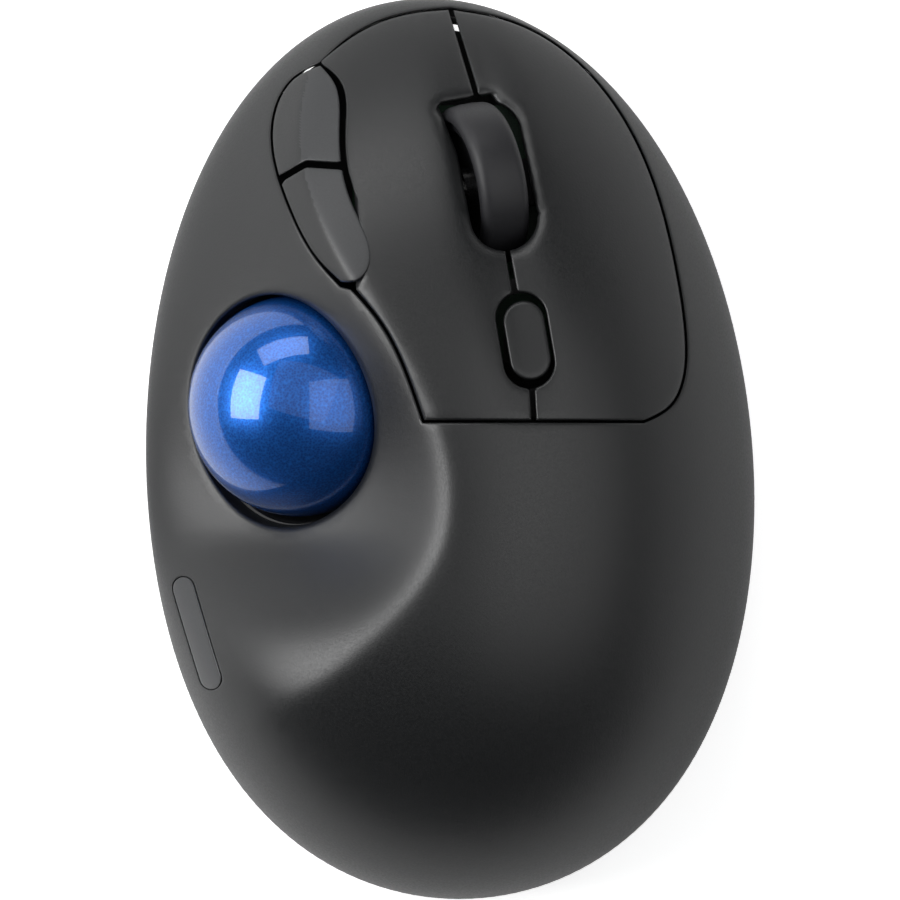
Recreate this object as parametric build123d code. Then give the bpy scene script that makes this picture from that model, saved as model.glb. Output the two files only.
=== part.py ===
from build123d import *
import math
import os

# Thumb-operated trackball mouse. Millimetres. +X right, +Y front, +Z up.
# The origin is on the desk under the centre of the plan outline.

WALL = 2.2               # skin thickness of the mouldings
BASE_Z = 0.6             # underside of the base, on top of the feet
FLOOR_TOP = 2.6          # inner face of the base floor
PARTING_Z = 6.0          # parting line between base and upper housing
WAIST_Z = 9.0            # height of the widest contour
WAIST = (-0.84, -4.10)   # centre of the waist outline
HALF_WIDTH = 47.06
HALF_LENGTH = 69.48
CREST_Z = 48.0           # top of the palm hump
CREST_Y = -8.0
UNDERCUT = 30.0          # drop below the waist for one unit of rho

BALL_R = 17.0
BALL_C = Vector(-23.0, 6.8, 25.0)
RIM_NORMAL = Vector(-0.60, -0.175, 0.78).normalized()
BALL_OPENING_R = 17.7
CUP_R = 17.8
CUP_WALL = 2.2
EJECT_R = 6.0
BEARING_R = 1.25

WHEEL_C = Vector(4.6, 40.5, 26.3)
WHEEL_R = 12.5
WHEEL_WIDTH = 7.6
WHEEL_YAW = 11.0         # turned anticlockwise, seen from above
WHEEL_ROLL = 17.0        # leaning to the right
AXLE_R = 1.5
ROTOR_R = 2.0            # toothless rotor of the wheel's encoder
WHEEL_CLEARANCE = 0.8    # between the tyre and the two main buttons

SEAM_Y = 4.1             # rear seam of the two main buttons
SEAM_GAP = 0.35          # half of a seam's width
BUTTON_FOOT_Z = 10.0     # lowest edge of the main buttons, clear of the base when pressed
BOARD_Z = 16.0           # underside of the raised button board
BOARD_T = 1.4
BATTERY_R = 7.2
BATTERY_LENGTH = 50.0
BATTERY_C = Vector(5.0, -28.6, 10.6)
FIT = 0.05               # radial clearance of a running fit


def waist_point(angle, reach):
    """Plan point of the egg-shaped outline; reach is 1 on the waist and 0 in its middle."""
    c, s = math.cos(angle), math.sin(angle)
    low, high = 0.0, 90.0
    for _ in range(40):
        middle = (low + high) / 2
        u, v = middle * c, middle * s
        a, b = u / (HALF_WIDTH + 0.0183 * u), v / (HALF_LENGTH + 0.0618 * v)
        if a * a + b * b - 0.118 * a * a * b * b < reach * reach:
            low = middle
        else:
            high = middle
    return WAIST[0] + low * c - 0.035 * low * s, WAIST[1] + low * s


def ridge_x(y):
    """The ridge that swings round the thumb scoop and on past the side buttons."""
    return -11.8 + 11.1 * math.cos(math.pi * (y + 7) / 56) - 0.0149 * min(y + 12, 0) ** 2


def top_height(x, y):
    """Height of the top before it rolls over to the waist."""
    lengthways = 0.0038 if y > CREST_Y else 0.0030
    right = 4 * math.log(1 + math.exp(x / 4))
    z = CREST_Z - lengthways * (y - CREST_Y) ** 2 - 0.0065 * right ** 2 - 0.05 * right
    slope = (ridge_x(y + 0.1) - ridge_x(y - 0.1)) / 0.2
    side = (ridge_x(y) - x) / math.hypot(1, slope)
    side = (side + math.hypot(side, 2.2)) / 2
    fade = 1 / (1 + math.exp(-(y + 27) / 6))
    z -= 46 * (0.35 + 0.65 * fade) * (1 - math.exp(-side / 40))
    run = min(max(y / 22, 0), 1)
    trough_x = 4.7 + (52.7 - y) * 0.155
    return z - 1.6 * math.exp(-((x - trough_x) / 4.6) ** 2) * run * run * (3 - 2 * run)


def skin_point(angle, rho, depth):
    """A point of the skin: rho is 0 on the crown, 1 on the waist and more below it."""
    reach = math.sin(rho * math.pi / 2)
    x, y = waist_point(angle, reach)
    if rho <= 1:
        z = WAIST_Z + (top_height(x, y) - WAIST_Z) * math.sqrt(max(1 - reach ** 4, 0))
    else:
        z = WAIST_Z - UNDERCUT * (rho - 1)
    return inward(x, y, z, depth)


def inward(x, y, z, depth):
    x = WAIST[0] + (x - WAIST[0]) * (1 - depth / HALF_WIDTH)
    y = WAIST[1] + (y - WAIST[1]) * (1 - depth / HALF_LENGTH)
    return x, y, z - 1.1 * depth


def form(depth, z_low, around=48, steps=14):
    """Everything under the skin drawn in by depth, down to z_low: rings lofted up to the crown."""
    lowest = 1 + (WAIST_Z - 1.1 * depth - z_low) / UNDERCUT
    sections = []
    for i in range(steps + 1):
        rho = lowest * (1 - 0.94 * i / steps)
        ring = [skin_point(2 * math.pi * j / around, rho, depth) for j in range(around)]
        sections.append(Wire([Edge.make_spline(ring, periodic=True)]))
    sections.append(Vertex(*skin_point(0.0, 0.0, depth)))
    return Solid.make_loft(sections)


def tray(depth, z_low):
    """The undercut lower part, from z_low up to the parting line."""
    rings = []
    for z in (z_low, (z_low + PARTING_Z) / 2, PARTING_Z):
        rho = 1 + (WAIST_Z - z - 1.1 * depth) / UNDERCUT
        ring = [skin_point(2 * math.pi * i / 32, max(rho, 1.0), 0) for i in range(32)]
        ring = [inward(x, y, z + 1.1 * depth, depth) for x, y, _ in ring]
        rings.append(Wire([Edge.make_spline(ring, periodic=True)]))
    return Solid.make_loft(rings)


def prism(outline, z_low=-5.0, z_high=70.0):
    """Upright prism over a closed plan outline given as a face, a sketch or points."""
    if isinstance(outline, (list, tuple)):
        outline = make_face(Polyline(*outline, close=True))
    face = outline if isinstance(outline, Face) else outline.face()
    return Solid.extrude(face.moved(Location((0, 0, z_low))), Vector(0, 0, z_high - z_low))


def pill(centre, width, length, yaw, z_low=-5.0, z_high=70.0):
    """Upright prism with round ends; yaw turns it anticlockwise, seen from above."""
    flat = Rot(0, 0, yaw) * SlotOverall(length, width, rotation=90)
    return prism((Pos(centre[0], centre[1]) * flat).face(), z_low, z_high)


def box(low, high):
    return Solid.make_box(high[0] - low[0], high[1] - low[1], high[2] - low[2], Plane(low))


def rod(start, direction, radius, length):
    return Solid.make_cylinder(radius, length, Plane(origin=start, z_dir=direction))


def solid(shape):
    """The single solid of a boolean's result."""
    return max(shape.solids(), key=lambda s: s.volume)


def wheel_place(shape):
    """Move a shape from the wheel's own frame (axle along X, top up Z) to its place."""
    turned = shape.rotate(Axis.Y, WHEEL_ROLL).rotate(Axis.Z, WHEEL_YAW)
    return turned.moved(Location(WHEEL_C))


# Plan outlines run anticlockwise. Each is a list of stretches: the points of a smooth curve, or of
# straight lines when it starts with None. Each stretch begins where the one before it ends.

SIDE_OPENING = [
    [(-19.8, 59.3), (-24.0, 57.3), (-27.0, 52.0), (-26.9, 44.0), (-24.4, 36.5), (-20.2, 28.8),
     (-16.5, 24.7)],
    [(-16.5, 24.7), (-13.4, 24.6), (-11.4, 26.9), (-13.7, 36.8), (-15.9, 48.5), (-16.8, 56.4),
     (-19.8, 59.3)]]
BUTTON_LINE = [(0.0, 68.3), (4.0, 54.3), (6.9, 41.6), (9.0, 28.0), (12.3, 9.6),
               (12.6, SEAM_Y)]
LEFT_OUTLINE = [
    [(0.0, 68.3), (-7.8, 67.2), (-14.3, 64.4), (-20.2, 59.9)],
    [None, (-20.2, 59.9), (-18.0, 50.0), (-14.0, 36.0), (-14.5, 24.0)],
    [(-14.5, 24.0), (-10.3, 18.7), (-6.6, 11.2), (-4.1, SEAM_Y)],
    [None, (-4.1, SEAM_Y), (12.6, SEAM_Y)],
    [None] + BUTTON_LINE[::-1]]
RIGHT_OUTLINE = [
    [None] + BUTTON_LINE,
    [None, (12.6, SEAM_Y), (29.3, SEAM_Y)],
    [(29.3, SEAM_Y), (33.6, 6.6), (35.8, 11.4), (36.1, 17.0), (34.9, 26.7), (31.3, 41.4),
     (25.3, 53.6), (15.5, 63.4), (8.7, 66.6), (0.0, 68.3)]]
BUTTONS_OUTLINE = LEFT_OUTLINE[:3] + [[None, (-4.1, SEAM_Y), (29.3, SEAM_Y)], RIGHT_OUTLINE[2]]
SIDE_BUTTONS = [
    SIDE_OPENING[0][:-1] + [(-16.5, 25.0)],
    [(-16.5, 25.0), (-14.1, 25.1), (-12.1, 27.1), (-14.3, 36.8), (-16.5, 48.5), (-17.4, 56.2),
     (-19.8, 59.3)]]
SIDE_SPLIT = [(-30.0, 38.4), (-21.8, 42.8), (-10.0, 41.9), (-10.0, 43.1), (-21.8, 44.0),
              (-30.0, 39.6)]


def shifted(before, point, after, amount):
    """A corner of an anticlockwise outline, moved inwards by amount from both of its sides."""
    ax, ay = point[0] - before[0], point[1] - before[1]
    bx, by = after[0] - point[0], after[1] - point[1]
    la, lb = math.hypot(ax, ay), math.hypot(bx, by)
    nx, ny = -ay / la - by / lb, ax / la + bx / lb
    share = 2 * amount / (nx * nx + ny * ny)
    return point[0] + nx * share, point[1] + ny * share


def outline(stretches, amount=0.0):
    """The face inside an outline, drawn in by amount."""
    loop = [p for stretch in stretches for p in [q for q in stretch if q][:-1]]
    moved = {}
    for i, point in enumerate(loop):
        moved[point] = shifted(loop[i - 1], point, loop[(i + 1) % len(loop)], amount)
    edges = []
    for stretch in stretches:
        points = [moved[q] for q in stretch if q]
        edges += Polyline(*points).edges() if stretch[0] is None else Spline(*points).edges()
    return make_face(edges).face()


nodes = {}


def add(name, *shapes):
    """Keep one node of one or more solids."""
    solids = [s for shape in shapes for s in shape.solids()]
    nodes[name] = solids[0] if len(solids) == 1 else Compound(children=solids)
    print(name, len(solids), round(sum(s.volume for s in solids), 1), all(s.is_valid for s in solids))


# Forms and cutters shared by several pieces

OUTER = form(0, PARTING_Z)
UNDER_SKIN = form(1.2, PARTING_Z)
INNER = form(WALL, PARTING_Z - 0.1)
DECK_LIMIT = form(3.7, PARTING_Z - 1.5)
SKIN = solid(OUTER - INNER)

WHEEL_SLOT = pill((6.9, 41.6), 10.2, 23.4, WHEEL_YAW)
DPI_C = (11.3, 16.5)
DPI_YAW = 9.5
DPI_RECESS = pill(DPI_C, 7.7, 14.6, DPI_YAW)
SIDE_CUT = prism(outline(SIDE_OPENING))
LED_SLOT = pill((-38.7, -28.0), 3.6, 17.8, 18.0)
BALL_BORE = rod(BALL_C, RIM_NORMAL, BALL_OPENING_R, 40)
CUP_CLEARANCE = Solid.make_sphere(CUP_R + CUP_WALL + 0.4, Plane(BALL_C))
UP = Vector(0, 0, 1)

LEFT_POST = (-9.4, 42.0)
RIGHT_POST = (19.5, 33.0)
POST_FOOT_Z = 24.0
SHELL_SCREWS = [(-25.0, -38.0), (33.0, -4.0)]
DECK_SCREWS = [(-4.0, 60.0), (24.0, 49.0)]
BOARD_POSTS = [(-11.5, 32.0), (-11.5, 49.0), (23.5, 18.0), (22.0, 41.0)]
MAIN_POSTS = [(-3.0, 17.0), (16.0, 17.0), (7.0, 47.0)]
BOSS_R = 3.0
SCREW_R = 1.1
MAIN_BOARD_Z = 5.6
MAIN_BOARD_TOP = MAIN_BOARD_Z + BOARD_T
BUTTON_BOARD_TOP = BOARD_Z + BOARD_T
MICRO_SWITCH = (6.4, 12.8, 5.6)
TACT_SWITCH = (6.0, 6.0, 1.8)
SWITCH_NUB = (1.2, 0.4)  # radius and height


def with_bosses(body, spots, limit):
    """Add the screw bosses that hang from a part down to the parting line."""
    for spot in spots:
        boss = solid(rod((*spot, PARTING_Z + 0.2), UP, BOSS_R, 60) & limit)
        body = solid(body + solid(boss - rod((*spot, 0), UP, SCREW_R, 13)))
    return body


def upper_housing():
    """Palm shell, open over the main buttons, the side buttons, the ball and the window."""
    shell = SKIN
    for cutter in (prism(outline(BUTTONS_OUTLINE)), SIDE_CUT, BALL_BORE, LED_SLOT):
        shell = solid(shell - cutter)
    return with_bosses(shell, SHELL_SCREWS, UNDER_SKIN)


def button_deck():
    """Sloping deck under the main buttons, open for the wheel, the posts and the DPI stem."""
    front, rear = (66.0, 17.9), (5.0, 38.5)
    side = [(-24.0, *rear), (-24.0, *front), (-24.0, front[0], front[1] + 1.5),
            (-24.0, rear[0], rear[1] + 1.5)]
    slab = Solid.extrude(make_face(Polyline(*side, close=True)).face(), Vector(62, 0, 0))
    deck = solid(solid(slab & prism(outline(BUTTONS_OUTLINE))) & DECK_LIMIT)
    for cutter in (pill((5.9, 41.0), 19.6, 31.0, WHEEL_YAW), DPI_RECESS,
                   prism(outline(SIDE_OPENING, -0.3)), rod((*LEFT_POST, 0), UP, 3.4, 70),
                   rod((*RIGHT_POST, 0), UP, 3.4, 70), CUP_CLEARANCE):
        deck = solid(deck - cutter)
    return with_bosses(deck, DECK_SCREWS, DECK_LIMIT)


def bay(low, high, wall):
    """Outer block and inner hollow of an upside-down compartment in the base."""
    outer = box((low[0] - wall, low[1] - wall, FLOOR_TOP - 0.5),
                (high[0] + wall, high[1] + wall, high[2] + wall))
    return outer, box((low[0], low[1], -1), high)


BATTERY_BAY = bay((-3.6, -55.6, 0), (13.6, -1.6, 18.4), 1.2)
RECEIVER_BAY = bay((20.8, -35.5, 0), (27.2, -20.5, 19.6), 1.2)


def base_housing():
    """Floor, undercut side wall, board posts, screw pillars and the two compartments."""
    walls = solid(tray(0, BASE_Z) - tray(WALL, FLOOR_TOP))
    for spot in BOARD_POSTS:
        walls = solid(walls + rod((*spot, FLOOR_TOP - 0.5), UP, 2.4, BOARD_Z - FLOOR_TOP + 0.5))
    for spot in MAIN_POSTS:
        walls = solid(walls + rod((*spot, FLOOR_TOP - 0.5), UP, 2.0, MAIN_BOARD_Z - FLOOR_TOP + 0.5))
    for outer, hollow in (BATTERY_BAY, RECEIVER_BAY):
        walls = solid(solid(walls + outer) - hollow)
    for spot in SHELL_SCREWS + DECK_SCREWS:
        walls = solid(walls + rod((*spot, FLOOR_TOP - 0.5), UP, BOSS_R, PARTING_Z - FLOOR_TOP + 0.7))
        walls = solid(walls - rod((*spot, -1), UP, SCREW_R, 20))
        walls = solid(walls - rod((*spot, -1), UP, 2.1, 2.9))
    walls = solid(walls - rod((BALL_C.X, BALL_C.Y, -1), UP, EJECT_R, 10))
    walls = solid(walls - box((7.6, 31.6, -1), (16.4, 36.4, 4)))
    return solid(walls - rod((0, 34, -1), UP, 3.0, 5))


def screws():
    result = []
    for spot in SHELL_SCREWS + DECK_SCREWS:
        head = rod((*spot, 0.8), UP, 2.0, 1.1)
        recess = box((spot[0] - 1.1, spot[1] - 0.25, 0), (spot[0] + 1.1, spot[1] + 0.25, 1.4))
        cross = box((spot[0] - 0.25, spot[1] - 1.1, 0), (spot[0] + 0.25, spot[1] + 1.1, 1.4))
        result.append(solid(head + rod((*spot, 1.9), UP, SCREW_R, 10.5) - recess - cross))
    return result


def feet():
    pads = [(0.0, 57.0, 6.0, 28.0, 90.0), (0.0, -61.0, 4.5, 22.0, 90.0), (-35.0, -12.0, 5.0, 24.0, 0.0),
            (36.0, -12.0, 5.0, 24.0, 0.0), (-29.5, 36.0, 5.0, 16.0, -28.0)]
    return [pill((x, y), wide, long, yaw, 0.0, BASE_Z) for x, y, wide, long, yaw in pads]


def main_button(stretches, post):
    """A main button's plate, with the post that reaches down to its switch."""
    plate = solid(SKIN & prism(outline(stretches, SEAM_GAP)))
    plate = solid(solid(plate - WHEEL_SLOT) - DPI_RECESS)
    plate = solid(plate - prism(outline(SIDE_OPENING, -0.05)))
    plate = solid(plate - box((-60, -60, 0), (60, 80, BUTTON_FOOT_Z)))
    reach = WHEEL_WIDTH / 2 + WHEEL_CLEARANCE
    plate = solid(plate - wheel_place(along_axle(WHEEL_R + WHEEL_CLEARANCE, -reach, reach)))
    return solid(plate + solid(rod((*post, POST_FOOT_Z), UP, 2.0, 40) & UNDER_SKIN))


def below(height, y, slope):
    """Everything under a plane that passes the given height at y and falls forwards by slope."""
    low, high = (y - 60, height + 60 * slope), (y + 60, height - 60 * slope)
    side = [(-60.0, low[0], -60.0), (-60.0, high[0], -60.0), (-60.0, *high), (-60.0, *low)]
    return Solid.extrude(make_face(Polyline(*side, close=True)).face(), Vector(120, 0, 0))


def side_buttons():
    block = solid(OUTER & prism(outline(SIDE_BUTTONS, 0.3)))
    block = solid(block - below(17.5, 50.0, 0.55))
    halves = sorted((block - prism(SIDE_SPLIT)).solids(), key=lambda half: half.center().Y)
    back = solid(halves[0] + rod((-18.2, 34.0, 22.5), UP, 1.2, 10))
    return halves[-1], back


def dpi_button():
    cap = solid(OUTER & pill((DPI_C[0] + 0.3, DPI_C[1]), 6.2, 12.0, DPI_YAW))
    cap = solid(cap - below(37.5, DPI_C[1], 0.1))
    stem = rod((*DPI_C, BUTTON_BOARD_TOP + 2.8), UP, 1.3, 20)
    return solid(cap + stem)


def ball_cup():
    """Spherical cup, its foot round the eject hole, bearing pockets and the sensor window."""
    cup = solid(Solid.make_sphere(CUP_R + CUP_WALL, Plane(BALL_C)) & INNER)
    cup = solid(cup + rod((BALL_C.X, BALL_C.Y, FLOOR_TOP), UP, EJECT_R + 2, 8))
    cup = solid(cup - Solid.make_sphere(CUP_R, Plane(BALL_C)))
    for cutter in [BALL_BORE, rod((BALL_C.X, BALL_C.Y, 0), UP, EJECT_R, 12),
                   rod(BALL_C, SENSOR_DIR, 3.0, 25)] + bearings():
        cup = solid(cup - cutter)
    return cup


def bearings():
    """Three small balls that carry the big one, just clear of it."""
    result = []
    for turn in (90, 210, 330):
        out = Vector(1, 0, 0).rotate(Axis.Y, 38).rotate(Axis.Z, turn)
        result.append(Solid.make_sphere(BEARING_R, Plane(BALL_C + out * (BALL_R + FIT + BEARING_R))))
    return result


SENSOR_DIR = Vector(0.72, 0.10, -0.68).normalized()


def sensor_block(near, far, half):
    """A square block on the sensor's line, between two distances from the ball's centre."""
    place = Plane(origin=BALL_C + SENSOR_DIR * near, x_dir=(0, 1, 0), z_dir=SENSOR_DIR)
    flat = Solid.make_box(2 * half, 2 * half, far - near)
    return flat.moved(Location(place) * Location((-half, -half, 0)))


def button_board():
    """Raised board that carries the button switches, cut round the ball cup and the wheel."""
    edge = [(-15.0, 14.0), (26.0, 14.0), (26.0, 38.0), (22.0, 46.0), (14.0, 53.0), (-8.0, 53.0),
            (-15.0, 50.0)]
    board = prism(edge, BOARD_Z, BUTTON_BOARD_TOP)
    board = solid(board - CUP_CLEARANCE)
    return solid(board - pill((1.7, 40.8), 15.6, 21.6, WHEEL_YAW))


def side_board():
    profile = [(30.0, 17.4), (54.0, 17.4), (54.0, 20.0), (44.0, 22.0), (38.0, 23.2), (33.0, 25.6),
               (30.0, 25.6)]
    face = make_face(Polyline(*[(-14.6, y, z) for y, z in profile], close=True)).face()
    return Solid.extrude(face, Vector(1.2, 0, 0))


def switch(x, y, z, size, nub):
    """A small switch standing on z: its case with a low round nub on top."""
    half_x, half_y = size[0] / 2, size[1] / 2
    case = box((x - half_x, y - half_y, z), (x + half_x, y + half_y, z + size[2]))
    return solid(case + rod((x, y, z + size[2]), UP, nub[0], nub[1]))


def side_switches():
    near = (Vector(-15.8, 50.0, 19.7), Vector(-16.4, 34.0, 22.9))
    result = []
    for tip in near:
        case = box((tip.X, tip.Y - 2, tip.Z - 1.8), (-14.6, tip.Y + 2, tip.Z + 1.8))
        result.append(solid(case + rod(tip, Vector(-1, 0, 0), 0.8, 0.25)))
    return result


def wheel_tyre():
    half = WHEEL_WIDTH / 2
    band = Solid.make_cylinder(WHEEL_R, WHEEL_WIDTH, Plane(origin=(-half, 0, 0), z_dir=(1, 0, 0)))
    band = band.fillet(1.6, band.edges())
    bore = Solid.make_cylinder(WHEEL_R - 2.3, 20, Plane(origin=(-10, 0, 0), z_dir=(1, 0, 0)))
    return wheel_place(solid(band - bore))


def along_axle(radius, low, high):
    return Solid.make_cylinder(radius, high - low, Plane(origin=(low, 0, 0), z_dir=(1, 0, 0)))


def wheel_hub():
    hub = solid(along_axle(WHEEL_R - 2.3, -3.2, 3.2) - along_axle(AXLE_R, -5, 5))
    for low in (-3.3, 2.4):
        dish = solid(along_axle(WHEEL_R - 3.6, low, low + 0.9) - along_axle(3.0, -5, 5))
        hub = solid(hub - dish)
    return wheel_place(hub)


def wheel_cradle():
    frame = box((-6.4, -3.5, -14.8), (6.4, 3.5, 2.2)) - box((-5.0, -5, -13.4), (5.0, 5, 5))
    return wheel_place(solid(solid(frame) - along_axle(AXLE_R + FIT, -8, 8)))


def encoder_body():
    case = box((6.4, -4.5, -5.0), (9.4, 2.6, 2.6))
    return wheel_place(solid(case - along_axle(ROTOR_R + 0.1, 6, 12)))


def middle_switch():
    case = box((-3.0, -3.0, -24.0), (3.0, 3.0, -16.0))
    placed = wheel_place(solid(case + rod((0, 0, -16.0), UP, 0.9, 0.5)))
    return solid(placed - box((-20, 20, -5), (40, 60, MAIN_BOARD_TOP)))


def battery():
    start = BATTERY_C - Vector(0, BATTERY_LENGTH / 2, 0)
    can = rod(start, Vector(0, 1, 0), BATTERY_R, BATTERY_LENGTH - 1.2)
    can = can.fillet(0.6, can.edges())
    tip = rod(start + Vector(0, BATTERY_LENGTH - 1.5, 0), Vector(0, 1, 0), 2.7, 1.5)
    return solid(can + tip)


def battery_spring():
    """Flat contact with a conical coil, as touching rings."""
    start = BATTERY_C - Vector(0, BATTERY_LENGTH / 2 + 2.0, 0)
    rings = rod(start, Vector(0, 1, 0), 5.0, 0.4)
    for i in range(4):
        centre = start + Vector(0, 0.4 + 0.4 * i, 0)
        rings = rings + rod(centre, Vector(0, 1, 0), 4.4 - 0.7 * i, 0.4)
    return solid(rings)


def power_switch():
    case = box((8.0, 32.0, 3.6), (16.0, 36.0, MAIN_BOARD_Z))
    return solid(case - box((9.4, 33.1, 3.0), (15.4, 34.9, 4.9)))


def power_slider():
    knob = box((8.0, 31.9, 1.0), (13.0, 36.1, 2.4))
    for i in range(3):
        knob = solid(knob - box((9.2 + i, 31.0, 0.5), (9.6 + i, 37.0, 1.2)))
    return solid(knob + box((10.0, 33.4, 2.4), (11.6, 34.6, 4.5)))


def mode_button():
    return solid(rod((0, 34, 0.9), UP, 2.85, 1.9) + rod((0, 34, 2.8), UP, 1.0, 0.4))


def mode_switch():
    case = box((-2.25, 31.75, 3.9), (2.25, 36.25, MAIN_BOARD_Z))
    return solid(case + rod((0, 34, 3.6), UP, 0.8, 0.3))


def lamps():
    """Four small lamps on a strip just inside the indicator window."""
    strip = pill((-36.6, -27.3), 2.4, 15.0, 18.0, 9.0, 11.0)
    for i in range(4):
        x, y = -36.6 - 1.2 * (i - 1.5), -27.3 + 3.7 * (i - 1.5)
        strip = solid(strip + rod((x, y, 10.5), UP, 0.9, 1.6))
    return strip


def battery_door():
    door = box((-3.3, -55.3, BASE_Z), (13.3, -1.9, 2.2))
    for i in range(4):
        door = solid(door - box((1.0, -7.0 - 1.6 * i, 0), (9.0, -6.2 - 1.6 * i, 1.1)))
    return door


def receiver():
    cap = box((21.1, -35.2, 0.9), (26.9, -20.8, 7.0))
    return cap.fillet(0.8, cap.edges().filter_by(Axis.Z))


add("base_housing", base_housing())
add("upper_housing", upper_housing())
add("button_deck", button_deck())
add("left_button", main_button(LEFT_OUTLINE, LEFT_POST))
add("right_button", main_button(RIGHT_OUTLINE, RIGHT_POST))
forward, back = side_buttons()
add("forward_button", forward)
add("back_button", back)
add("dpi_button", dpi_button())
add("trackball", Solid.make_sphere(BALL_R, Plane(BALL_C)))
add("ball_cup", ball_cup())
add("bearing_balls", *bearings())
add("sensor_lens", rod(BALL_C + SENSOR_DIR * 18.0, SENSOR_DIR, 3.0, 2.3))
add("optical_sensor", sensor_block(20.3, 21.5, 3.0))
add("sensor_board", sensor_block(21.5, 22.7, 4.5))
add("wheel_tyre", wheel_tyre())
add("wheel_hub", wheel_hub())
add("wheel_axle", wheel_place(along_axle(AXLE_R, -7.4, 9.5)))
add("encoder_rotor", wheel_place(solid(along_axle(ROTOR_R, 6.8, 9.2) - along_axle(AXLE_R, 5, 12))))
add("encoder_body", encoder_body())
add("wheel_cradle", wheel_cradle())
add("middle_switch", middle_switch())
add("button_board", button_board())
add("side_board", side_board())
add("main_board", box((-6.0, 14.0, MAIN_BOARD_Z), (19.0, 50.0, MAIN_BOARD_TOP)))
for side, post in (("left", LEFT_POST), ("right", RIGHT_POST)):
    add(f"{side}_switch", switch(*post, BUTTON_BOARD_TOP, MICRO_SWITCH, SWITCH_NUB))
add("dpi_switch", switch(*DPI_C, BUTTON_BOARD_TOP, TACT_SWITCH, SWITCH_NUB))
add("side_switches", *side_switches())
add("indicator_window", SKIN & LED_SLOT)
add("indicator_lamps", lamps())
add("battery", battery())
add("battery_spring", battery_spring())
add("battery_contact", box((0.0, -1.9 - 0.2, 5.0), (10.0, -1.6, 16.0)))
add("battery_door", battery_door())
add("receiver_cap", receiver())
add("receiver_plug", box((21.75, -34.0, 7.0), (26.25, -22.0, 18.8)))
add("power_switch", power_switch())
add("power_slider", power_slider())
add("mode_switch", mode_switch())
add("mode_button", mode_button())
add("feet", *feet())
add("screws", *screws())

os.makedirs("parts", exist_ok=True)
for name, shape in nodes.items():
    export_step(shape, f"parts/{name}.step")
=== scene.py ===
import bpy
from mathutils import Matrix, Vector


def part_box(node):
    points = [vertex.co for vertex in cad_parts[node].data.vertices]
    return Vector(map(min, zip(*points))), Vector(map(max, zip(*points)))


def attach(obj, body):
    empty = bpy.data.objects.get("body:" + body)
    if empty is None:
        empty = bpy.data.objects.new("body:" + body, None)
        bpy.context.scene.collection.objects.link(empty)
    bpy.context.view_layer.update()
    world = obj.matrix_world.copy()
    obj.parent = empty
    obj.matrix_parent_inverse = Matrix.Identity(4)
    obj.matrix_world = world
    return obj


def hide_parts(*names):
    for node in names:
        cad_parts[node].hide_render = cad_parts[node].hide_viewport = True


bl_info = {
    "name": "Trackball Mouse",
    "version": (1, 0, 0),
    "blender": (4, 5, 0),
    "location": "View3D > Sidebar > Trackball Mouse",
    "description": "Builds a thumb-operated trackball mouse around its packed frame",
    "category": "Add Mesh",
}

import math

import bpy
import numpy as np
from mathutils import Matrix, Vector
from mathutils.geometry import delaunay_2d_cdt

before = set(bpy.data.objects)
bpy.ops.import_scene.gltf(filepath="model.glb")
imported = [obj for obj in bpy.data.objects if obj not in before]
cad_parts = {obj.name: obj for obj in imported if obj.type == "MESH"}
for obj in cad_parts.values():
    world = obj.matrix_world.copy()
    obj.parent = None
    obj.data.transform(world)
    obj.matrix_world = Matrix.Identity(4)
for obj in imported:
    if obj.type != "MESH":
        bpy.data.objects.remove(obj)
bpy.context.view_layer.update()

MM = 0.001

# The housing's form, in millimetres, on the same formulas as the solid model.
WAIST = (-0.84, -4.10)
WAIST_Z = 9.0
PARTING_Z = 6.0
HALF_WIDTH = 47.06
HALF_LENGTH = 69.48
UNDERCUT = 30.0
WAIST_TURNS = 230        # points round the waist
CREST_Z = 48.0
CREST_Y = -8.0
SEAM_Y = 4.1

BALL_C = Vector((-23.0, 6.8, 25.0))
RIM_NORMAL = Vector((-0.60, -0.175, 0.78)).normalized()
RIM_R = 17.7
WHEEL_C = Vector((4.6, 40.5, 26.3))
WHEEL_R = 12.5
WHEEL_HALF = 3.8
WHEEL_GAP = 0.8          # between the tyre and the main buttons
WHEEL_YAW = 11.0
WHEEL_ROLL = 17.0
DPI_C = (11.3, 16.5)
DPI_YAW = 9.5
WINDOW_C = (-38.7, -28.0)
WINDOW_YAW = 18.0

SIDE_OPENING = [
    [(-19.8, 59.3), (-24.0, 57.3), (-27.0, 52.0), (-26.9, 44.0), (-24.4, 36.5), (-20.2, 28.8),
     (-16.5, 24.7)],
    [(-16.5, 24.7), (-13.4, 24.6), (-11.4, 26.9), (-13.7, 36.8), (-15.9, 48.5), (-16.8, 56.4),
     (-19.8, 59.3)]]
SIDE_BUTTONS = [
    SIDE_OPENING[0][:-1] + [(-16.5, 25.0)],
    [(-16.5, 25.0), (-14.1, 25.1), (-12.1, 27.1), (-14.3, 36.8), (-16.5, 48.5), (-17.4, 56.2),
     (-19.8, 59.3)]]
SIDE_SPLIT = [(-30.0, 39.0), (-21.8, 43.4), (-10.0, 42.5)]
BUTTON_LINE = [(0.0, 68.3), (4.0, 54.3), (6.9, 41.6), (9.0, 28.0), (12.3, 9.6), (12.6, SEAM_Y)]
LEFT_EDGE = [
    [(0.0, 68.3), (-7.8, 67.2), (-14.3, 64.4), (-20.2, 59.9)],
    [None, (-20.2, 59.9), (-18.0, 50.0), (-14.0, 36.0), (-14.5, 24.0)],
    [(-14.5, 24.0), (-10.3, 18.7), (-6.6, 11.2), (-4.1, SEAM_Y)]]
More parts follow.
